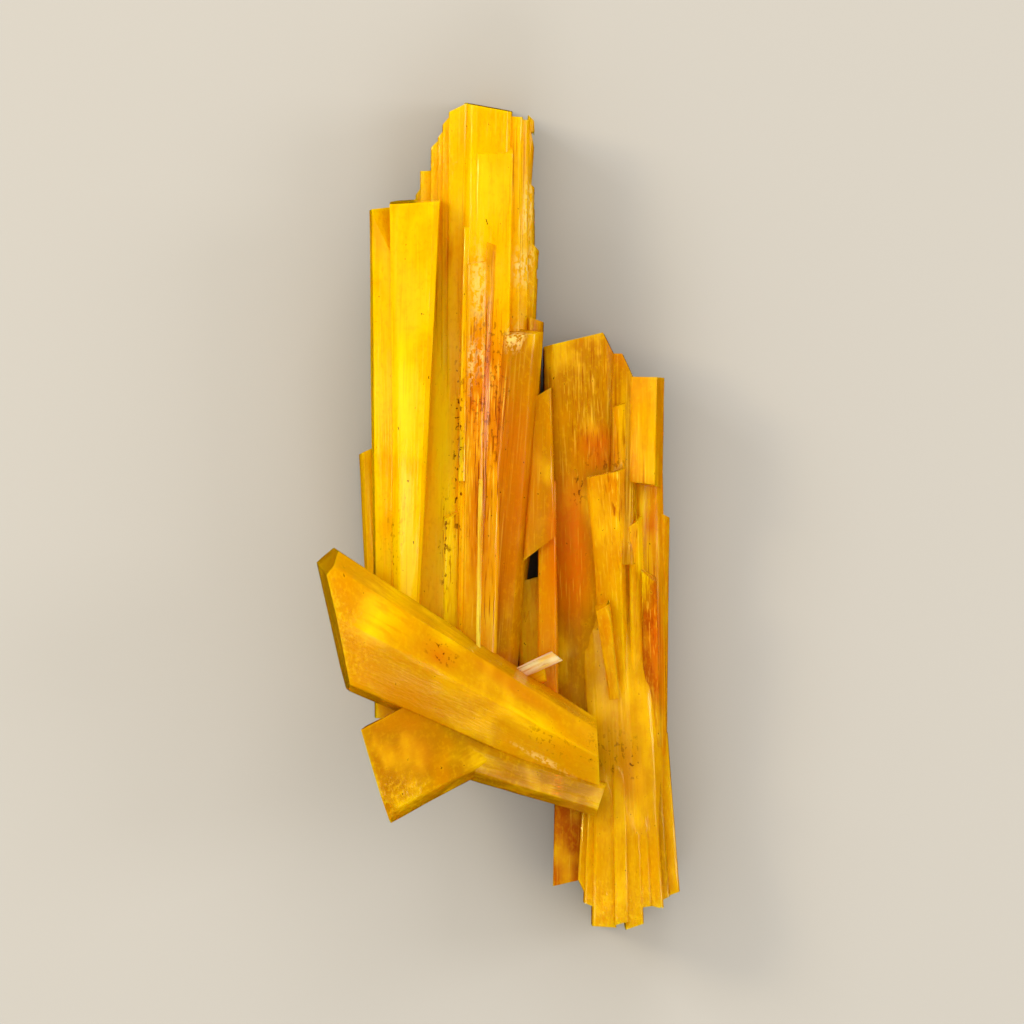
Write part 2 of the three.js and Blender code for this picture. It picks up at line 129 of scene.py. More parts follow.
LEFT_BUNDLE = {
    "crown": Crystal(
        (-1.5, -13.4, 0), (-0.6, 24.9, 0), (2.4, 2.85), (9, 7.3),
        ((-0.5, 0.93), (-0.36, 1), (0.42, 1), (0.5, 0.96)), CANARY, (-0.16, -0.07),
        cleavages=(((-2.02, 25.1, 7.2), (-0.7, 0.25, 0.66)),)),
    "crown_layer": Crystal(
        (-0.4, 8, 6), (-0.2, 22.5, 6.6), (2, 2.1), (2.1, 0.9), FLAT_FRONT, CANARY, (0.04, -1)),
    "crown_right": Crystal(
        (0.85, 9.5, 0.5), (1.05, 24.2, 0.5), (0.84, 0.76), (6.9, 6.5), FLAT_FRONT, CANARY,
        (-0.05, -0.05)),
    "crown_rim": Crystal(
        (1.45, 9.5, 0.8), (1.6, 24, 0.8), (0.84, 0.72), (6.3, 6.1), RIGHT_FACING, CANARY,
        (-0.1, -0.05)),
    "rim_upper": Crystal(
        (1.62, 19.5, 1.4), (2.02, 23.8, 1.4), (0.6, 0.46), (4.9, 4.9), RIGHT_FACING, GOLD,
        (-0.8, 0)),
    "rim_middle": Crystal(
        (1.87, 15.8, 1.2), (1.88, 19.9, 1.4), (0.56, 0.52), (5.1, 4.9), RIGHT_FACING, GOLD,
        (-0.7, 0)),
    "rim_lower": Crystal(
        (1.9, 10.8, 1), (2.12, 16.2, 1.1), (0.6, 0.6), (5.6, 5.3), RIGHT_FACING, GOLD,
        (-0.9, 0)),
    "slab": Crystal(
        (-0.45, -13.3, 0.3), (1.55, 11.5, 0.3), (2.6, 2.35), (7.9, 8.1), RIGHT_FACING, SLATED,
        (-0.05, -0.06), cleavages=(((1.5, 11.3, 6.4), (0, 0.95, 0.32)),)),
    "slab_edge": Crystal(
        (1.7, -2, 1), (2.27, 11.7, 1), (0.6, 0.87), (5.9, 6.1), RIGHT_FACING, TAWNY,
        (-0.25, 0)),
    "slab_heel": Crystal(
        (0.95, -7, 1), (1.75, -1.5, 1.2), (0.7, 0.5), (5.8, 5.6), RIGHT_FACING, GOLD),
    # Its lemon tint is painted light: the band is amber and lies in shade between taller crystals
    "amber_band": Crystal(
        (-3.75, -13.1, 0.7), (-2.85, 18.5, 1), (2.7, 1.75), (8.1, 5.2), LEFT_FACING, SHADE_LIFTED_LEMON,
        (0, -0.2)),
    "amber_strip": Crystal(
        (-2.9, -13, 4), (-2.8, 1.5, 4), (0.85, 0.85), (4.9, 4), FLAT_FRONT, GOLD,
        (0.4, -0.4)),
    "gloss_rib": Crystal(
        (-1.7, -13.2, 3.5), (-1.26, 16.4, 3.5), (1.1, 1.15), (5.9, 4.5), FLAT_FRONT, GOLD,
        (0.2, -0.3)),
    "stain_rib": Crystal(
        (-1.35, -11, 3.5), (-0.15, 17.4, 3.5), (0.6, 1.1), (5.6, 4.4), RIGHT_FACING, AMBER,
        (-0.3, -0.3)),
    "thread_rib": Crystal(
        (-1.23, -11, 4), (-1.05, 2.1, 4), (0.24, 0.24), (5.6, 5.3), FLAT_FRONT, PALE_LEMON),
    "pale_rib": Crystal(
        (-2.2, 2, 3), (-1.85, 19, 3), (0.4, 0.32), (5.7, 4.5), FLAT_FRONT, CANARY, (0, -0.4)),
    "splay": Crystal(
        (0.6, -13.2, 3.8), (0.1, -2.8, 3.8), (0.7, 1.2), (4.4, 4), RIGHT_FACING, GOLD,
        (0.2, -0.6)),
    "front_left": Crystal(
        (-5.64, -12.8, 1), (-5, 19, 5), (1.1, 3), (8.2, 4.1),
        ((-0.5, 0.93), (-0.3, 1), (0.36, 1), (0.5, 0.92)), LEMON, (0.08, -0.1)),
    "far_left": Crystal(
        (-6.6, -12.2, 0.9), (-6.76, 18.4, 3), (1.7, 1.98), (7.5, 5.6), LOW_LEFT_EDGE, LEMON,
        (0.15, 0), cleavages=(((-7.75, 17.9, 8.4), (0.62, 0.37, 0.69)),)),
    "side_shelf": Crystal(
        (-7.3, -10.6, 0.9), (-7.95, 3.9, 0.9), (0.9, 1.05), (2.4, 2), ROUNDED, GOLD,
        (0.42, 0)),
}

# Thin laths that step down the left side of the tall crystal:
# (middle, width, height of the tip, rise of the tip to the right, back, front)
CROWN_STEPS = (
    (-2.42, 1.1, 24.75, 0.5, 0.5, 7.1),
    (-3.02, 0.66, 24.1, 1.2, 0.9, 6.8),
    (-3.42, 0.44, 23.2, 1.3, 1.1, 6.6),
    (-3.76, 0.6, 22.6, 1, 1.3, 6.4),
    (-4.32, 0.76, 20.9, 0.05, 1.5, 6.1),
    (-4.72, 0.38, 19.8, 1.4, 1.8, 5.8),
    (-5.16, 0.74, 19.1, 0.5, 2, 5.6),
)
STEP_FOOT_Y = -11.6
STEP_LEAN = -0.25  # how far a lath's foot lies left of its tip

RIGHT_BUNDLE = {
    "broad": Crystal(
        (5.35, -16.5, 0), (4.92, 10.6, 0), (4.6, 4.4), (5.8, 7.4),
        ((-0.5, 0.88), (-0.38, 0.96), (-0.1, 1), (0.35, 1), (0.5, 0.93)), HONEY, (0.22, 0),
        cleavages=(((6.51, 10.89, 0), (0.894, 0.447, 0.03)),)),
    "seam_upper": Crystal(
        (2.5, -2, 1.2), (2.7, 7.35, 1.2), (1.9, 1), (6.4, 6.1), FLAT_FRONT, SLATED,
        (0.6, 0), (0.8, 0)),
    "seam_lower": Crystal(
        (2.95, -13, 1), (2.95, 2, 1), (1.3, 1), (6.9, 6.1), FLAT_FRONT, TAWNY),
    "shoulder": Crystal(
        (7.4, -3, 0.8), (7.47, 9.66, 0.8), (1.5, 1.36), (6.5, 6.3), FLAT_FRONT, HONEY,
        cleavages=(((7.65, 9.66, 0), (0.9, 0.42, 0.03)),)),
    "corner_block": Crystal(
        (8.8, 1.3, 1.6), (8.9, 8.25, 1.6), (2.1, 2.16), (5.7, 5.6),
        ((-0.5, 0.94), (-0.42, 1), (0.28, 1), (0.5, 0.68)), AMBER, foot_face=(-0.1, 0.1)),
    "corner_rim": Crystal(
        (9.43, 3.6, 2), (9.73, 7.6, 2), (0.5, 0.54), (3, 3), RIGHT_FACING, AMBER, (-1.2, 0)),
    "under_block": Crystal(
        (9.3, -14.6, 1.2), (8.95, 4.6, 1.2), (1.7, 1.74), (4.7, 5.3), RIGHT_FACING, AMBER),
    "outer_lath": Crystal(
        (9.6, -16, 1), (9.75, 0.1, 1), (1.1, 1.1), (4, 4.9), RIGHT_FACING, AMBER,
        (-0.5, 0)),
    "blade": Crystal(
        (7.3, -13.6, 1.4), (6.5, 3, 2.2), (1.9, 2.78), (5, 6), KNIFE_RIGHT, AMBER,
        (0.2, -0.1)),
    "blade_wedge": Crystal(
        (7, -11.1, 4), (6.15, -4.8, 5), (0.6, 0.9), (2.8, 3), LEFT_FACING, AMBER,
        (0.5, -0.3)),
    "inner_lath": Crystal(
        (7.5, -11, 1.8), (7.2, 8.15, 2), (0.7, 0.7), (4.6, 5.5), FLAT_FRONT, AMBER,
        (0.3, -0.3)),
    "middle_lath": Crystal(
        (8.2, -11, 1.8), (7.72, 7.9, 2), (0.7, 0.66), (4.5, 5.2), FLAT_FRONT, AMBER,
        (-0.3, -0.3)),
    "speckled_lath": Crystal(
        (8.6, -13.5, 1.4), (8.15, 0.9, 2.5), (1, 0.8), (4.9, 5), RIGHT_FACING, GOLD,
        (0.5, -0.3)),
    "orange_lath": Crystal(
        (9.3, -14, 1.8), (9, -2.4, 2.5), (1, 0.9), (4.2, 4.8), FLAT_FRONT, BURNT,
        (-0.8, -0.3)),
    "trunk": Crystal(
        (7.9, -21.5, 0), (6.9, -4.5, 0), (5.2, 5.6), (6.9, 6.6), TRUNK_FRONT, CLOUDED),
    "spur": Crystal(
        (4.15, -22.2, 1.4), (4.3, -15.4, 1.4), (1.66, 1.7), (4, 4.2), FLAT_FRONT, BURNT,
        foot_face=(0.25, 0)),
}

# Splayed laths of the broken foot: (middle, width, height of the foot, its rise to the right,
# middle at the top, back, front, tint)
FOOT_FAN = (
    (5.05, 0.62, -22.7, -1.8, 5.6, 1.6, 6.8, CLOUDED),
    (5.5, 0.72, -23.7, -0.4, 5.9, 0.9, 7.3, CLOUDED),
    (6.35, 1.45, -25, -0.05, 6.5, 0.4, 7.6, CLOUDED),
    (7.4, 0.8, -24.8, 0.25, 7.2, 0, 7.8, CLOUDED),
    (8.2, 1.08, -25, 0.3, 7.8, 0, 7.6, CLOUDED),
    (8.9, 0.56, -23.8, 0.1, 8.4, 0.5, 7.4, CLOUDED),
    (9.45, 0.92, -23.8, -0.35, 8.8, 0.8, 7.3, CLOUDED),
    (10, 0.56, -23.3, 0.4, 9.3, 1.1, 7, SHADED),
    (10.52, 0.76, -23, 0.3, 9.8, 1.5, 6.6, CLOUDED),
)
FAN_TOP_Y = -13.2
FAN_SINK = 1.4  # how much lower the front of a lath is where it runs into the trunk

CROSSING = {
    "across": Crystal(
        (5.97, -14.73, 3.2), (-10.23, -6.03, 6.4), (4.1, 7.2), (7.2, 7.8), CROSS_FRONT, CLOUDED,
        (0.88, -0.12), (0.6, 0),
        cleavages=(((-10.89, -3.33, 9), (-0.72, 0.68, 0.15)),
                   ((-9.4, -10.4, 10), (-0.8, -0.5, 0.35)))),
    "lower_ledge": Crystal(
        (6.1, -17.1, 4), (-2.2, -14.5, 5), (2.1, 2.4), (5, 5),
        ((-0.5, 0.6), (-0.26, 0.92), (0.35, 1), (0.5, 0.96)), SHADED, (0.3, -0.05)),
    "prong": Crystal(
        (0.2, -11.6, 5.2), (-7.14, -15.5, 6.8), (5.7, 5.75), (4.2, 5),
        ((-0.5, 0.6), (-0.4, 0.92), (0.2, 1), (0.5, 0.98)), SHADED, (-0.2, 0.04),
        cleavages=(((-5.2, -18.3, 11), (-0.3, -0.6, 0.74)),)),
    "stub": Crystal(
        (1, -10.4, 4), (3.75, -9, 4.2), (1.9, 1.7), (4.2, 4),
        ((-0.5, 0.55), (-0.36, 1), (0.2, 0.95), (0.5, 0.6)), LEMON, (-0.3, -0.3)),
    # Its near-white tint is a painted highlight: the glossy strip that shines on the stub
    "sheen_lath": Crystal(
        (1.1, -9.55, 5), (3.5, -8.45, 5.2), (0.6, 0.66), (3.4, 3.4), FLAT_FRONT, PAINTED_SHEEN, (0.5, 0)),
    "sprout": Crystal(
        (1, -8.4, 0.8), (2.05, -4.7, 1), (0.9, 1.1), (5.9, 5.6), ROUNDED, GOLD,
        (-0.3, -0.2)),
    "web": Crystal(
        (2.5, -13.2, 0.2), (2, -3.85, 0.2), (2.4, 1.7), (6.9, 6.2), FLAT_FRONT, GOLD, (0.2, 0)),
}

# Where colour, worn and broken faces and painted light sit, seen from above: middle x and y, half
# width and half length in mm, turn in degrees, strength. A zone has faded out at ZONE_END half
# sizes from its middle, over a soft edge ZONE_FADE wide.
ZONE_END = 1.25
ZONE_FADE = 0.8
ORANGE_STAINS = (
    (-0.8, 6.9, 1.4, 5.5, 0, 0.75),
    (-0.1, 6.9, 0.4, 5, 0, 0.6),
    (-1.1, -0.3, 0.9, 5, 0, 0.5),
    (-3, 15.6, 0.3, 1.1, 0, 0.7),
    (0.8, 2.1, 1.5, 6, 0, 0.5),
    (0.1, -2.7, 1.2, 4, 0, 0.4),
    (4.2, -2.1, 1.5, 5, 2, 0.85),
    (5.9, 3.9, 1.3, 1.4, 20, 0.8),
    (7.4, 10.4, 1, 1.6, 10, 0.5),
    (9.1, -0.7, 0.4, 0.6, 0, 0.8),
    (9.6, -8.1, 0.45, 3.6, 2, 0.8),
    (0.8, -10.1, 3.2, 0.5, -35, 0.4),
    (1.6, -9.4, 3.6, 0.35, -35, 0.6),
    (-3.2, -8.3, 0.7, 0.8, -30, 0.6),
    (7.9, -16, 1, 1.4, 10, 0.3),
)
# Brighter growth layers; two zones below are painted light instead, lifting places that lie in
# shade
BRIGHT_AND_SHADE_LIFT_LAYERS = (
    (-5.6, 7.2, 0.6, 4.5, 2, 0.8),
    (-5.9, -3.9, 1, 4, 0, 0.5),
    (-1.4, 18.9, 1.6, 3.5, 0, 0.5),
    (-7.4, -6.2, 1.1, 1.4, -30, 0.85),
    (1.9, -12.3, 2.2, 0.8, -30, 0.5),
    (-1.6, -14.5, 1.4, 0.6, -20, 0.6),
    (-5.4, -16.8, 0.9, 1, -30, 0.6),
    (6.4, -1.5, 0.7, 4, 5, 0.15),
    (7.2, -7, 0.6, 5, 5, 0.3),
    (8.8, 5.1, 0.9, 2.6, 0, 0.35),
    (8.7, 0.3, 0.6, 0.5, 0, 0.7),
    # Painted light: lifts the laths at the right, which lie in shade
    (8.8, -3, 0.5, 2.5, 0, 0.5),
    (7.5, 5.5, 0.4, 2.4, 0, 0.35),
    (7.6, -21.9, 2, 2.4, 0, 0.15),
    # Painted light: lifts the band on the left, which lies in shade between taller crystals
    (-3.3, 2, 0.6, 14, 2, 0.7),
)
AMBER_DEPTHS = (
    (-5.4, -11.5, 2.4, 1.8, -20, 0.6),
    (-4.7, -14.1, 1.7, 1, -30, 0.5),
    (1.9, 2.7, 0.8, 6.5, 0, 0.6),
    (3.4, 5.1, 0.6, 3.5, 0, 0.4),
    (3, -6.4, 0.7, 3, 0, 0.4),
    (-7.3, 17, 0.5, 1.5, 10, 0.6),
)
# Whitish frosted spots; the patches on the central rib, the small spot low on the right and the
# thin line below it are painted sheen and painted glints
FROST_AND_SHEEN_SPOTS = (
    (-1.2, 13.6, 0.5, 2.3, 0, 0.5),
    (-1.6, 9, 0.3, 1.2, 0, 0.8),
    (-1, 9.6, 0.2, 0.9, 0, 0.8),
    (1.5, 15.1, 0.7, 0.9, 0, 0.9),
    (1.8, 18.6, 0.35, 2, 0, 0.5),
    (1, 10.6, 0.6, 0.4, 0, 1),
    (4.7, -11.8, 0.25, 0.2, 0, 0.9),
    (2.8, -14.7, 1.8, 0.15, -31, 0.6),
)
# Fine lines: the dark ones are hair cracks, the light ones painted highlight lines along the
# striations
HAIR_AND_GLINT_LINES = (
    (-0.8, 5, 1.7, 9, 0, 1),
    (5.5, 6.9, 2.3, 4, 0, 0.65),
    (7.6, 0.9, 1.4, 5, 0, 0.8),
    (-0.2, -5.4, 1.2, 3, 0, 0.8),
    (1.3, 18.9, 0.9, 5, 0, 0.6),
    (7.3, -20.7, 2.6, 4, 0, 0.15),
    (-2.9, -2.7, 0.8, 5, 0, 0.6),
    (9.4, -6, 0.8, 6, 0, 0.7),
)
GRIME = (
    (-0.6, 8.1, 1.6, 6, 0, 0.5),
    (-2.4, 3.9, 0.35, 7, 0, 1),
    (-3.2, -1.8, 0.35, 3.5, 0, 0.8),
    (4.7, 1.9, 0.7, 0.6, -40, 1),
    (6.4, 3, 1.5, 0.6, 0, 0.6),
    (6, -10.2, 0.6, 0.4, 0, 1),
    (8.2, -15.5, 0.5, 0.9, 10, 1),
    (6.7, -14.1, 2, 1.6, 0, 0.5),
    (-6.4, -3.1, 0.4, 0.6, 0, 1),
    (-6.2, -0.9, 0.8, 1.5, 0, 0.4),
    (-3.5, -8.1, 1, 0.6, -30, 1),
    (3, -13.5, 1.5, 0.8, -30, 0.5),
    (4.5, -12.6, 0.4, 0.3, 0, 0.8),
)
# Faces that broke rather than grew, which are rough and catch the light
BROKEN_FACES = (
    (-9.8, -6.5, 1.7, 3.8, 20, 1),
    (1.8, 15, 0.9, 3.2, 0, 1),
    (7.5, -23.8, 3, 1.6, 0, 0.8),
    (-6, -16.8, 1.8, 1.6, 0, 0.8),
    (1, 10.4, 0.9, 0.5, 0, 1),
    (-4, 21, 1.4, 2.2, -30, 0.6),
)

# Open pits and a crevice: centre, size in mm and turns about the axes in degrees
PITS = (
    ((4.66, 1.85, 7.7), (1, 0.34, 1.3), (0, 0, -44)),
    ((8.22, -15.5, 8.3), (0.28, 0.55, 0.7), (0, 0, 14)),
    ((-2.3, 3.9, 7.9), (0.24, 1.5, 0.9), (0, 0, 2)),
)

# Broken edges with chips split off: from, to (x, y), how many, size in mm
BROKEN_EDGES = (
    ((2.35, 23.6), (2.35, 18), 9, 0.4),
    ((2.5, 16), (2.6, 11.8), 6, 0.4),
    ((5.7, -25.25), (8.8, -25.25), 8, 0.45),
    ((9.1, -24.1), (10.9, -23.1), 6, 0.4),
)
CHIP_SEED = 11
CHIP_MIDDLE = 8  # height of the middle of the block that splits a chip off
CHIP_HEIGHT = 30
CHIP_LEAN = 2  # how far a block may lean from upright, in degrees
CHIP_SLANT = 14  # how far it may turn from the line of the edge


def srgb(hex_colour):
    """A colour written as sRGB hex, as the linear values that Blender reads."""
    channels = [int(hex_colour[i:i + 2], 16) / 255 for i in (1, 3, 5)]
    linear = [c / 12.92 if c <= 0.04045 else ((c + 0.055) / 1.055) ** 2.4 for c in channels]
    return (*linear, 1)


def work_on(obj):
    bpy.ops.object.select_all(action="DESELECT")
    obj.select_set(True)
    bpy.context.view_layer.objects.active = obj


def select(obj, kind, wanted):
    """In edit mode, selects only the corners (VERT) or edges (EDGE) that are wanted."""
    bpy.ops.mesh.select_mode(type=kind)
    bpy.ops.mesh.select_all(action="DESELECT")
    mesh = bmesh.from_edit_mesh(obj.data)
    for element in mesh.verts if kind == "VERT" else mesh.edges:
        if wanted(element):
            element.select_set(True)
    bmesh.update_edit_mesh(obj.data, loop_triangles=False, destructive=False)


def section_corners(crystal, width, depth):
    """The corners of the section at the foot, in mm: across and towards the viewer."""
    front = crystal.front
    back = ((0.5, BACK_SHOULDER * front[-1][1]), (BACK_HALF, 0),
            (-BACK_HALF, 0), (-0.5, BACK_SHOULDER * front[0][1]))
    return [(u * width, v * depth) for u, v in (*front, *back)]


def draw_section(name, corners, start):
    """A disc primitive whose rim is dragged to the corners, standing across the prism's axis."""
    bpy.ops.object.select_all(action="DESELECT")
    bpy.ops.mesh.primitive_circle_add(
        vertices=len(corners), radius=MM, fill_type="NGON", location=(0, start * MM, 0),
        rotation=(math.pi / 2, 0, 0))
    disc = bpy.context.object
    disc.name = name
    bpy.ops.object.transform_apply(location=True, rotation=True, scale=True)
    bpy.ops.object.mode_set(mode="EDIT")
    for index, (across, height) in enumerate(corners):
        select(disc, "VERT", lambda vert: vert.index == index)
        was = bmesh.from_edit_mesh(disc.data).verts[:][index].co
        there = Vector((across * MM, start * MM, height * MM))
        bpy.ops.transform.translate(value=there - was)
    bpy.ops.mesh.select_all(action="SELECT")
    bpy.ops.mesh.bevel(offset=EDGE_CHAMFER * MM, affect="VERTICES")
    return disc


def prism(name, crystal, order):
    """One crystal, in its own frame first: across is X, its length is Y, the viewer is at +Z."""
    foot = Vector(crystal.foot)
    tip = Vector(crystal.tip)
    axis = (tip - foot).xy
    length = axis.length
    reach_over = [
        0.5 * width * abs(face[0]) + depth * abs(face[1]) + END_ALLOWANCE
        for width, depth, face in zip(
            crystal.wide, crystal.deep, (crystal.foot_face, crystal.tip_face))
    ]
    start, end = -reach_over[0], length + reach_over[1]

    def at(pair, along):
        return pair[0] + (pair[1] - pair[0]) * along / length

    climb = tip.z - foot.z
    wide = [width + OVERLAP for width in crystal.wide]
    width, depth = at(wide, start), at(crystal.deep, start)
    corners = section_corners(crystal, width, depth)
    corners = [(u, v + climb * start / length) for u, v in corners]
    obj = draw_section(name, corners, start)
    divide_outline(obj)
    bpy.ops.mesh.select_all(action="SELECT")
    rise = climb * (end - start) / length
    bpy.ops.mesh.extrude_region_move(
        TRANSFORM_OT_translate={"value": (0, (end - start) * MM, rise * MM)})
    bpy.ops.transform.resize(
        value=(at(wide, end) / width, 1, at(crystal.deep, end) / depth),
        center_override=(0, end * MM, climb * end / length * MM))
    rings = max(1, round((end - start) / RING_PITCH))
    half_length = 0.5 * length * MM
    select(obj, "EDGE", lambda e: abs(e.verts[0].co.y - e.verts[1].co.y) > half_length)
    bpy.ops.mesh.subdivide(number_cuts=rings)
    bpy.ops.mesh.select_all(action="SELECT")
    bpy.ops.mesh.normals_make_consistent(inside=False)
    bpy.ops.object.mode_set(mode="OBJECT")
    carve_relief(obj, order)
    bpy.ops.object.mode_set(mode="EDIT")
    lean, tilt = crystal.foot_face
    cut_face(obj, (0, 0, 0), (lean, -1, tilt))
    lean, tilt = crystal.tip_face
    cut_face(obj, (0, length, climb), (-lean, 1, -tilt))
    bpy.ops.object.mode_set(mode="OBJECT")
    record_growth(obj, crystal.tint, order)
    obj.location = foot * MM
    obj.rotation_euler.z = math.atan2(-axis.x, axis.y)
    work_on(obj)
    bpy.ops.object.transform_apply(location=True, rotation=True, scale=True)
    bpy.ops.object.mode_set(mode="EDIT")
    for point, normal in crystal.cleavages:
        cut_face(obj, point, normal)
    bpy.ops.object.mode_set(mode="OBJECT")
    return obj


def divide_outline(obj):
    """Cuts the sides of a section into steps of COLUMN_PITCH."""
    bpy.ops.mesh.select_mode(type="EDGE")
    sides = {}
    for edge in bmesh.from_edit_mesh(obj.data).edges:
        cuts = round(edge.calc_length() / (COLUMN_PITCH * MM)) - 1
        if cuts > 0:
            middle = (edge.verts[0].co + edge.verts[1].co) / 2
            sides.setdefault(cuts, []).append(middle)
    for cuts, middles in sides.items():
        select(obj, "EDGE", lambda e: any(
            ((e.verts[0].co + e.verts[1].co) / 2 - m).length < SAME_PLACE for m in middles))
        bpy.ops.mesh.subdivide(number_cuts=cuts)


def cut_face(obj, point, normal):
    """Cuts off what lies beyond a face, and closes the cut."""
    bpy.ops.mesh.select_mode(type="VERT")
    bpy.ops.mesh.select_all(action="SELECT")
    bpy.ops.mesh.bisect(
        plane_co=Vector(point) * MM, plane_no=Vector(normal).normalized(),
        use_fill=True, clear_outer=True, threshold=CUT_TOLERANCE * MM)


def relief(name, width, length, noise_type):
    """A noise that is drawn out along the prisms, and the empty whose scale draws it out."""
    texture = bpy.data.textures.new(name, "CLOUDS")
    texture.noise_scale = 1
    texture.noise_depth = 2
    texture.noise_type = noise_type
    bpy.ops.object.empty_add()
    carrier = bpy.context.object
    carrier.name = name
    carrier.scale = (width * MM, length * MM, width * MM)
    return texture, carrier


def carve_relief(obj, order):
    """Raises the broad growth steps, then the striations, on every face of a prism."""
    for (texture, carrier), depth in ((growth_steps, GROWTH_STEP_DEPTH),
                                      (striations, STRIATION_DEPTH)):
        carrier.location = (0, order * TEXTURE_SHIFT * MM, order * TEXTURE_SHIFT * MM)
        work_on(obj)
        bpy.ops.object.modifier_add(type="DISPLACE")
        displace = obj.modifiers[-1]
        displace.texture = texture
        displace.texture_coords = "OBJECT"
        displace.texture_coords_object = carrier
        displace.mid_level = RELIEF_MIDDLE
        displace.strength = depth * MM
        bpy.ops.object.modifier_apply(modifier=displace.name)


def record_growth(obj, tint, order):
    """Keeps the prism's colour, and where each point lies along its own grain, with the mesh."""
    work_on(obj)
    colour, strength = tint
    bpy.ops.geometry.color_attribute_add(
        name="growth_tint", domain="CORNER", data_type="FLOAT_COLOR",
        color=(*srgb(colour)[:3], strength))
    bpy.ops.geometry.attribute_add(name="grain", domain="CORNER", data_type="FLOAT_VECTOR")
    shift = Vector((0, order * TEXTURE_SHIFT * MM, 0))
    mesh = obj.data
    places = [
        part for loop in mesh.loops for part in mesh.vertices[loop.vertex_index].co + shift]
    mesh.attributes["grain"].data.foreach_set("vector", places)


def all_crystals():
    """Every crystal by name, with the laths that step down the crown and splay at the foot."""
    crystals = {**LEFT_BUNDLE, **RIGHT_BUNDLE, **CROSSING}
    for number, (middle, width, top, rise, back, face) in enumerate(CROWN_STEPS):
        crystals[f"crown_step_{number}"] = Crystal(
            (middle + STEP_LEAN, STEP_FOOT_Y, back), (middle, top, back), (width, width),
            (face - back, face - back), FLAT_FRONT, CANARY, (rise, -0.05))
    for number, (middle, width, bottom, rise, top, back, face, tint) in enumerate(FOOT_FAN):
        crystals[f"foot_lath_{number}"] = Crystal(
            (middle, bottom, back), (top, FAN_TOP_Y, back), (width, width),
            (face - back, face - back - FAN_SINK), FLAT_FRONT, tint, foot_face=(rise, 0.04))
    return crystals


def gather(name, objects):
    """Puts objects in a collection of their own, which a Boolean can read whole."""
    collection = bpy.data.collections.new(name)
    for obj in objects:
        collection.objects.link(obj)
    return collection


def combine(obj, others, operation):
    """Joins the others to an object, or cuts them from it, in one step."""
    work_on(obj)
    bpy.ops.object.modifier_add(type="BOOLEAN")
    boolean = obj.modifiers[-1]
    boolean.operation = operation
    boolean.solver = "MANIFOLD"
    boolean.operand_type = "COLLECTION"
    boolean.collection = gather("joining", others)
    bpy.ops.object.modifier_apply(modifier=boolean.name)
    bpy.data.collections.remove(bpy.data.collections["joining"])
    for other in others:
        bpy.data.objects.remove(other)


def largest_part(obj):
    """The outer shell alone, without closed pockets and the slivers that the chips leave."""
    work_on(obj)
    bpy.ops.object.mode_set(mode="EDIT")
    bpy.ops.mesh.select_all(action="SELECT")
    bpy.ops.mesh.separate(type="LOOSE")
    bpy.ops.object.mode_set(mode="OBJECT")
    parts = sorted(bpy.context.selected_objects, key=lambda part: len(part.data.vertices))
    for part in parts[:-1]:
        bpy.data.objects.remove(part)
    return parts[-1]


def block(centre, size, turns, tint):
    """A block to cut with. It carries a growth colour, which the faces that it cuts take on."""
    bpy.ops.mesh.primitive_cube_add(
        size=1, location=[place * MM for place in centre],
        rotation=[math.radians(turn) for turn in turns], scale=[side * MM for side in size])
    cutter = bpy.context.object
    bpy.ops.object.transform_apply(location=True, rotation=True, scale=True)
    record_growth(cutter, tint, 0)
    return cutter


def chips():
    """Tall thin blocks, nearly in line with each broken edge, that split shallow chips off it."""
    chance = random.Random(CHIP_SEED)
    for start, end, count, size in BROKEN_EDGES:
        heading = math.degrees(math.atan2(end[1] - start[1], end[0] - start[0]))
        for number in range(count):
            spot = Vector(start).lerp(Vector(end), (number + chance.random()) / count)
            length = size * chance.uniform(1.5, 4)
            depth = size * chance.uniform(0.4, 1)
            lean = [chance.uniform(-CHIP_LEAN, CHIP_LEAN) for axis in "xy"]
            turn = heading + chance.uniform(-CHIP_SLANT, CHIP_SLANT)
            yield block(
                (*spot, CHIP_MIDDLE), (length, depth, CHIP_HEIGHT), (*lean, turn), LEMON)


striations = relief("striations", STRIATION_WIDTH, STRIATION_LENGTH, "HARD_NOISE")
growth_steps = relief("growth_steps", GROWTH_STEP_WIDTH, GROWTH_STEP_LENGTH, "SOFT_NOISE")


def node(tree, kind, inputs=None, ramp=(), **settings):
    """Adds a node. inputs maps a socket to a value, or to the output that feeds it."""
    made = tree.nodes.new("ShaderNode" + kind)
    for setting, value in settings.items():
        setattr(made, setting, value)
    for socket, value in (inputs or {}).items():
        if isinstance(value, bpy.types.NodeSocket):
            tree.links.new(value, made.inputs[socket])
        else:
            made.inputs[socket].default_value = value
    for index, (position, colour) in enumerate(ramp):
        stops = made.color_ramp.elements
        stop = stops[index] if index < len(stops) else stops.new(position)
        stop.position = position
        stop.color = colour
    return made


def drawn_out_noise(tree, vector, width, length, detail):
    """Noise whose grains are width mm across and length mm along the second axis."""
    stretched = node(tree, "Mapping", {
        "Vector": vector, "Scale": (1 / (width * MM), 1 / (length * MM), 1 / (width * MM))})
    return node(tree, "TexNoise", {
        "Vector": stretched.outputs["Vector"], "Scale": 1, "Detail": detail,
        "Roughness": 0.6}).outputs["Fac"]


def remap(tree, value, low, high, to_low=0, to_high=1):
    return node(tree, "MapRange", {
        "Value": value, "From Min": low, "From Max": high, "To Min": to_low,
        "To Max": to_high}, interpolation_type="SMOOTHSTEP").outputs["Result"]


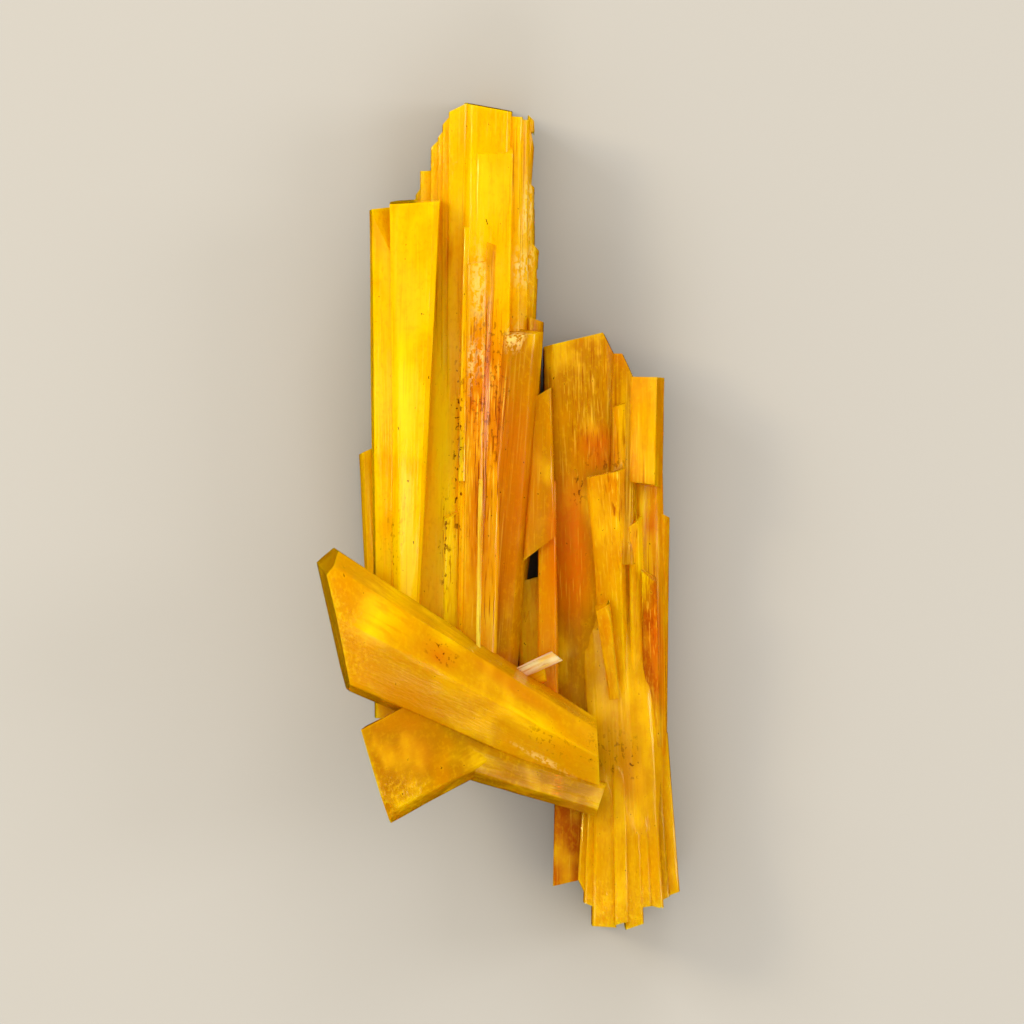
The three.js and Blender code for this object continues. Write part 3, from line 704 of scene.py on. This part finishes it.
def zone_strength(points, zones):
    """How strongly the zones mark each point: full inside, with a soft edge round about."""
    total = np.zeros(len(points))
    for x, y, half_width, half_length, turn, strength in zones:
        off_x, off_y = points[:, 0] - x, points[:, 1] - y
        cosine, sine = math.cos(math.radians(turn)), math.sin(math.radians(turn))
        across = (off_x * cosine + off_y * sine) / half_width
        along = (off_y * cosine - off_x * sine) / half_length
        fade = np.clip((ZONE_END - np.hypot(across, along)) / ZONE_FADE, 0, 1)
        total = np.maximum(total, strength * fade * fade * (3 - 2 * fade))
    return total


def record_zones(obj, name, *layers):
    """Keeps the strength of up to four kinds of zone with the mesh, one in each channel."""
    work_on(obj)
    bpy.ops.geometry.color_attribute_add(
        name=name, domain="POINT", data_type="FLOAT_COLOR", color=(0, 0, 0, 0))
    mesh = obj.data
    places = np.empty(3 * len(mesh.vertices))
    mesh.vertices.foreach_get("co", places)
    points = places.reshape(-1, 3) / MM
    channels = np.zeros((len(points), 4))
    for channel, zones in enumerate(layers):
        channels[:, channel] = zone_strength(points, zones)
    mesh.attributes[name].data.foreach_set("color", channels.ravel())


def times(tree, first, second):
    return node(tree, "Math", {0: first, 1: second}, operation="MULTIPLY").outputs["Value"]


def tinted(tree, below, colour, amount, blend="MIX"):
    """Lays a colour over what is below, as far as amount says."""
    return node(tree, "Mix", {"Factor": amount, 6: below, 7: srgb(colour)}, data_type="RGBA",
                blend_type=blend).outputs[2]


def channels_of(tree, attribute):
    return node(tree, "SeparateColor", {"Color": attribute.outputs["Color"]}).outputs


def natural_legrandite():
    """Legrandite as it grew: gemmy yellow zinc arsenate with fine striations up every prism.

    Part of the light goes in and comes out stained yellow, which gives the lit-up look of thin
    edges, and the growth layers streak the colour from lemon to amber. Striations are 0.1 mm apart
    or less on the real faces and are drawn 0.13 mm wide, as fine as the render shows.
    """
    material = bpy.data.materials.new("natural_legrandite")
    material.use_nodes = True
    tree = material.node_tree
    shader = tree.nodes["Principled BSDF"]
    place = node(tree, "TexCoord").outputs["Object"]
    grain = node(tree, "Attribute", attribute_name="grain").outputs["Vector"]
    growth = node(tree, "Attribute", attribute_name="growth_tint")

    stains_and_painted_light = node(tree, "Attribute", attribute_name="stains_and_painted_light")
    wear_and_painted_glints = node(tree, "Attribute", attribute_name="wear_and_painted_glints")
    stain, brighter_and_painted_lift, amber = channels_of(tree, stains_and_painted_light)
    hair_and_glint_lined, soiled, rough = channels_of(tree, wear_and_painted_glints)

    # Widths and lengths in mm: striations, hair cracks and painted highlight lines, growth bands,
    # cloudy patches, dust and pits
    threads = drawn_out_noise(tree, grain, 0.13, 6, 2)
    hair_and_glint_noise = drawn_out_noise(tree, grain, 0.11, 9, 1)
    bands = drawn_out_noise(tree, grain, 0.36, 10, 1)
    clouds = drawn_out_noise(tree, place, 2.6, 4.4, 2)
    grit = drawn_out_noise(tree, place, 0.25, 0.38, 2)

    # From the growth colour outwards: bands and clouds, rough faces, amber and orange staining,
    # brighter layers with painted light on shaded places, painted highlight on the striation crests
    # and painted shade in their troughs, hair cracks and painted highlight lines, grime, specks,
    # and frost with painted sheen and glints
    shows = growth.outputs["Alpha"]
    colour = tinted(tree, growth.outputs["Color"], "#F8B42C",
                    times(tree, shows, remap(tree, bands, 0.5, 0.68)), "MULTIPLY")
    colour = tinted(tree, colour, "#FFD000", remap(tree, clouds, 0.52, 0.7, 0, 0.5))
    colour = tinted(tree, colour, "#D89000", remap(tree, clouds, 0.46, 0.3, 0, 0.35))
    colour = tinted(tree, colour, "#FFD800", remap(tree, grit, 0.5, 0.68, 0, 0.15))
    colour = tinted(tree, colour, "#C88400", remap(tree, grit, 0.46, 0.32, 0, 0.2))
    colour = tinted(tree, colour, "#FFD820",
                    times(tree, rough, remap(tree, grit, 0.46, 0.66, 0, 0.3)))
    colour = tinted(tree, colour, "#CC8400", amber)
    colour = tinted(tree, colour, "#CC6000",
                    times(tree, stain, remap(tree, grit, 0.3, 0.6, 0.7, 1)))
    # Brighter layers, and painted light where the zones lift shaded places
    colour = tinted(tree, colour, "#FFDC00",
                    times(tree, brighter_and_painted_lift, remap(tree, bands, 0.3, 0.55, 0.4, 1)))
    # Painted highlight on the striation crests and painted shade in their troughs, following the
    # same noise as the bump
    colour = tinted(tree, colour, "#FFDA3C",
                    times(tree, shows, remap(tree, threads, 0.58, 0.7)))
    colour = tinted(tree, colour, "#A85800",
                    times(tree, shows, remap(tree, threads, 0.42, 0.3)))
    # Light lines are painted highlight lines; the dark ones below are hair cracks
    colour = tinted(tree, colour, "#FFD640",
                    times(tree, hair_and_glint_lined, remap(tree, hair_and_glint_noise, 0.6, 0.7, 0, 0.6)))
    colour = tinted(tree, colour, "#9A4600",
                    times(tree, hair_and_glint_lined, remap(tree, hair_and_glint_noise, 0.4, 0.33)))
    colour = tinted(tree, colour, "#6A2A00",
                    times(tree, soiled, remap(tree, grit, 0.58, 0.61)))
    colour = tinted(tree, colour, "#4A1E00", remap(tree, grit, 0.72, 0.75, 0, 0.9))
    # Frost, with painted sheen and painted glints where those zones mark them
    colour = tinted(tree, colour, "#FFE490",
                    times(tree, stains_and_painted_light.outputs["Alpha"], remap(tree, grit, 0.44, 0.56, 0, 0.9)))

    bump = node(tree, "Bump", {"Height": threads, "Strength": 0.5, "Distance": 0.05 * MM})
    bump = node(tree, "Bump", {
        "Height": times(tree, rough, grit), "Strength": 0.5, "Distance": 0.3 * MM,
        "Normal": bump.outputs["Normal"]})
    tree.links.new(colour, shader.inputs["Base Color"])
    tree.links.new(remap(tree, clouds, 0.35, 0.65, 0.07, 0.14), shader.inputs["Roughness"])
    tree.links.new(bump.outputs["Normal"], shader.inputs["Normal"])
    for socket, value in (
            ("IOR", 1.7), ("Transmission Weight", TRANSMISSION),
            ("Specular IOR Level", 0.35), ("Subsurface Weight", 0.7),
            ("Subsurface Radius", (1, 0.7, 0.1)), ("Subsurface Scale", 3 * MM)):
        shader.inputs[socket].default_value = value
    # The density counts per metre, so that a few millimetres of crystal take out the blue light
    depth = node(tree, "VolumeAbsorption", {"Color": srgb("#FFE000"), "Density": 500})
    tree.links.new(depth.outputs["Volume"], tree.nodes["Material Output"].inputs["Volume"])
    return material


def matt_pale_paper():
    """Uncoated studio backdrop paper: even, pale and without any gloss."""
    material = bpy.data.materials.new("matt_pale_paper")
    material.use_nodes = True
    shader = material.node_tree.nodes["Principled BSDF"]
    shader.inputs["Base Color"].default_value = srgb("#8A8C8E")
    shader.inputs["Roughness"].default_value = 0.8
    return material


def softbox(name, place, size, power, colour="#FFF6EA", glints=False):
    """A square light that faces the specimen. Places and sizes are in metres, power in watts."""
    bpy.ops.object.light_add(type="AREA", location=place)
    light = bpy.context.object
    light.name = name
    light.data.size = size
    light.data.energy = power
    light.data.color = srgb(colour)[:3]
    light.visible_glossy = glints
    light.rotation_euler = Vector(place).to_track_quat("Z", "Y").to_euler()
    return light.data


grown = [prism(name, crystal, order)
         for order, (name, crystal) in enumerate(all_crystals().items())]
cluster = grown[0]
combine(cluster, grown[1:], "UNION")
combine(cluster, [*(block(*pit, BURNT) for pit in PITS), *chips()], "DIFFERENCE")
cluster = largest_part(cluster)
cluster.name = "crystal_cluster"
record_zones(cluster, "stains_and_painted_light", ORANGE_STAINS, BRIGHT_AND_SHADE_LIFT_LAYERS, AMBER_DEPTHS, FROST_AND_SHEEN_SPOTS)
record_zones(cluster, "wear_and_painted_glints", HAIR_AND_GLINT_LINES, GRIME, BROKEN_FACES)
for carrier in (striations[1], growth_steps[1]):
    bpy.data.objects.remove(carrier)
work_on(cluster)
bpy.ops.object.shade_smooth_by_angle(angle=math.radians(SMOOTH_ANGLE))
cluster.data.materials.clear()
cluster.data.materials.append(natural_legrandite())
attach(cluster, "root")
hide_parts("legrandite_cluster")

bpy.ops.mesh.primitive_plane_add(size=FLOOR_SIZE)
floor = bpy.context.object
floor.name = "floor"
floor.data.materials.append(matt_pale_paper())
floor.visible_glossy = False

softbox("key_softbox", (-0.3, 0.16, 0.26), 0.16, 1.1)
softbox("front_softbox", (-0.05, -0.34, 0.3), 0.2, 0.62)
softbox("side_softbox", (0.32, 0.05, 0.2), 0.12, 0.5)
softbox("back_softbox", (0.08, 0.34, 0.22), 0.16, 0.5)
softbox("glint_strip", (-0.26, 0.1, 0.24), 0.06, 0.25, "#FFD878", glints=True)
overhead = softbox("overhead_strip", (-0.07, 0, 0.38), 0.012, 0.05, "#FFDC88", glints=True)
overhead.shape = "RECTANGLE"
overhead.size_y = 0.22
world = bpy.data.worlds.new("soft_studio")
world.use_nodes = True
background = world.node_tree.nodes["Background"]
background.inputs["Color"].default_value = srgb(STUDIO_COLOUR)
background.inputs["Strength"].default_value = STUDIO_BRIGHTNESS
bpy.context.scene.world = world
world.cycles_visibility.glossy = False

bpy.ops.object.camera_add(location=CAMERA_PLACE, rotation=(0, 0, 0))
camera = bpy.context.object
camera.data.sensor_width = SENSOR_WIDTH
camera.data.lens = SENSOR_WIDTH * (CAMERA_PLACE[2] - SHARPEST_HEIGHT) / FRAME_WIDTH
camera.data.clip_start = NEAREST_SEEN
bpy.context.scene.camera = camera
bpy.context.scene.view_settings.view_transform = "Standard"
cycles = bpy.context.scene.cycles
cycles.max_bounces = 6
cycles.diffuse_bounces = 2
cycles.glossy_bounces = 2
cycles.transmission_bounces = 4
cycles.caustics_refractive = False
cycles.caustics_reflective = False
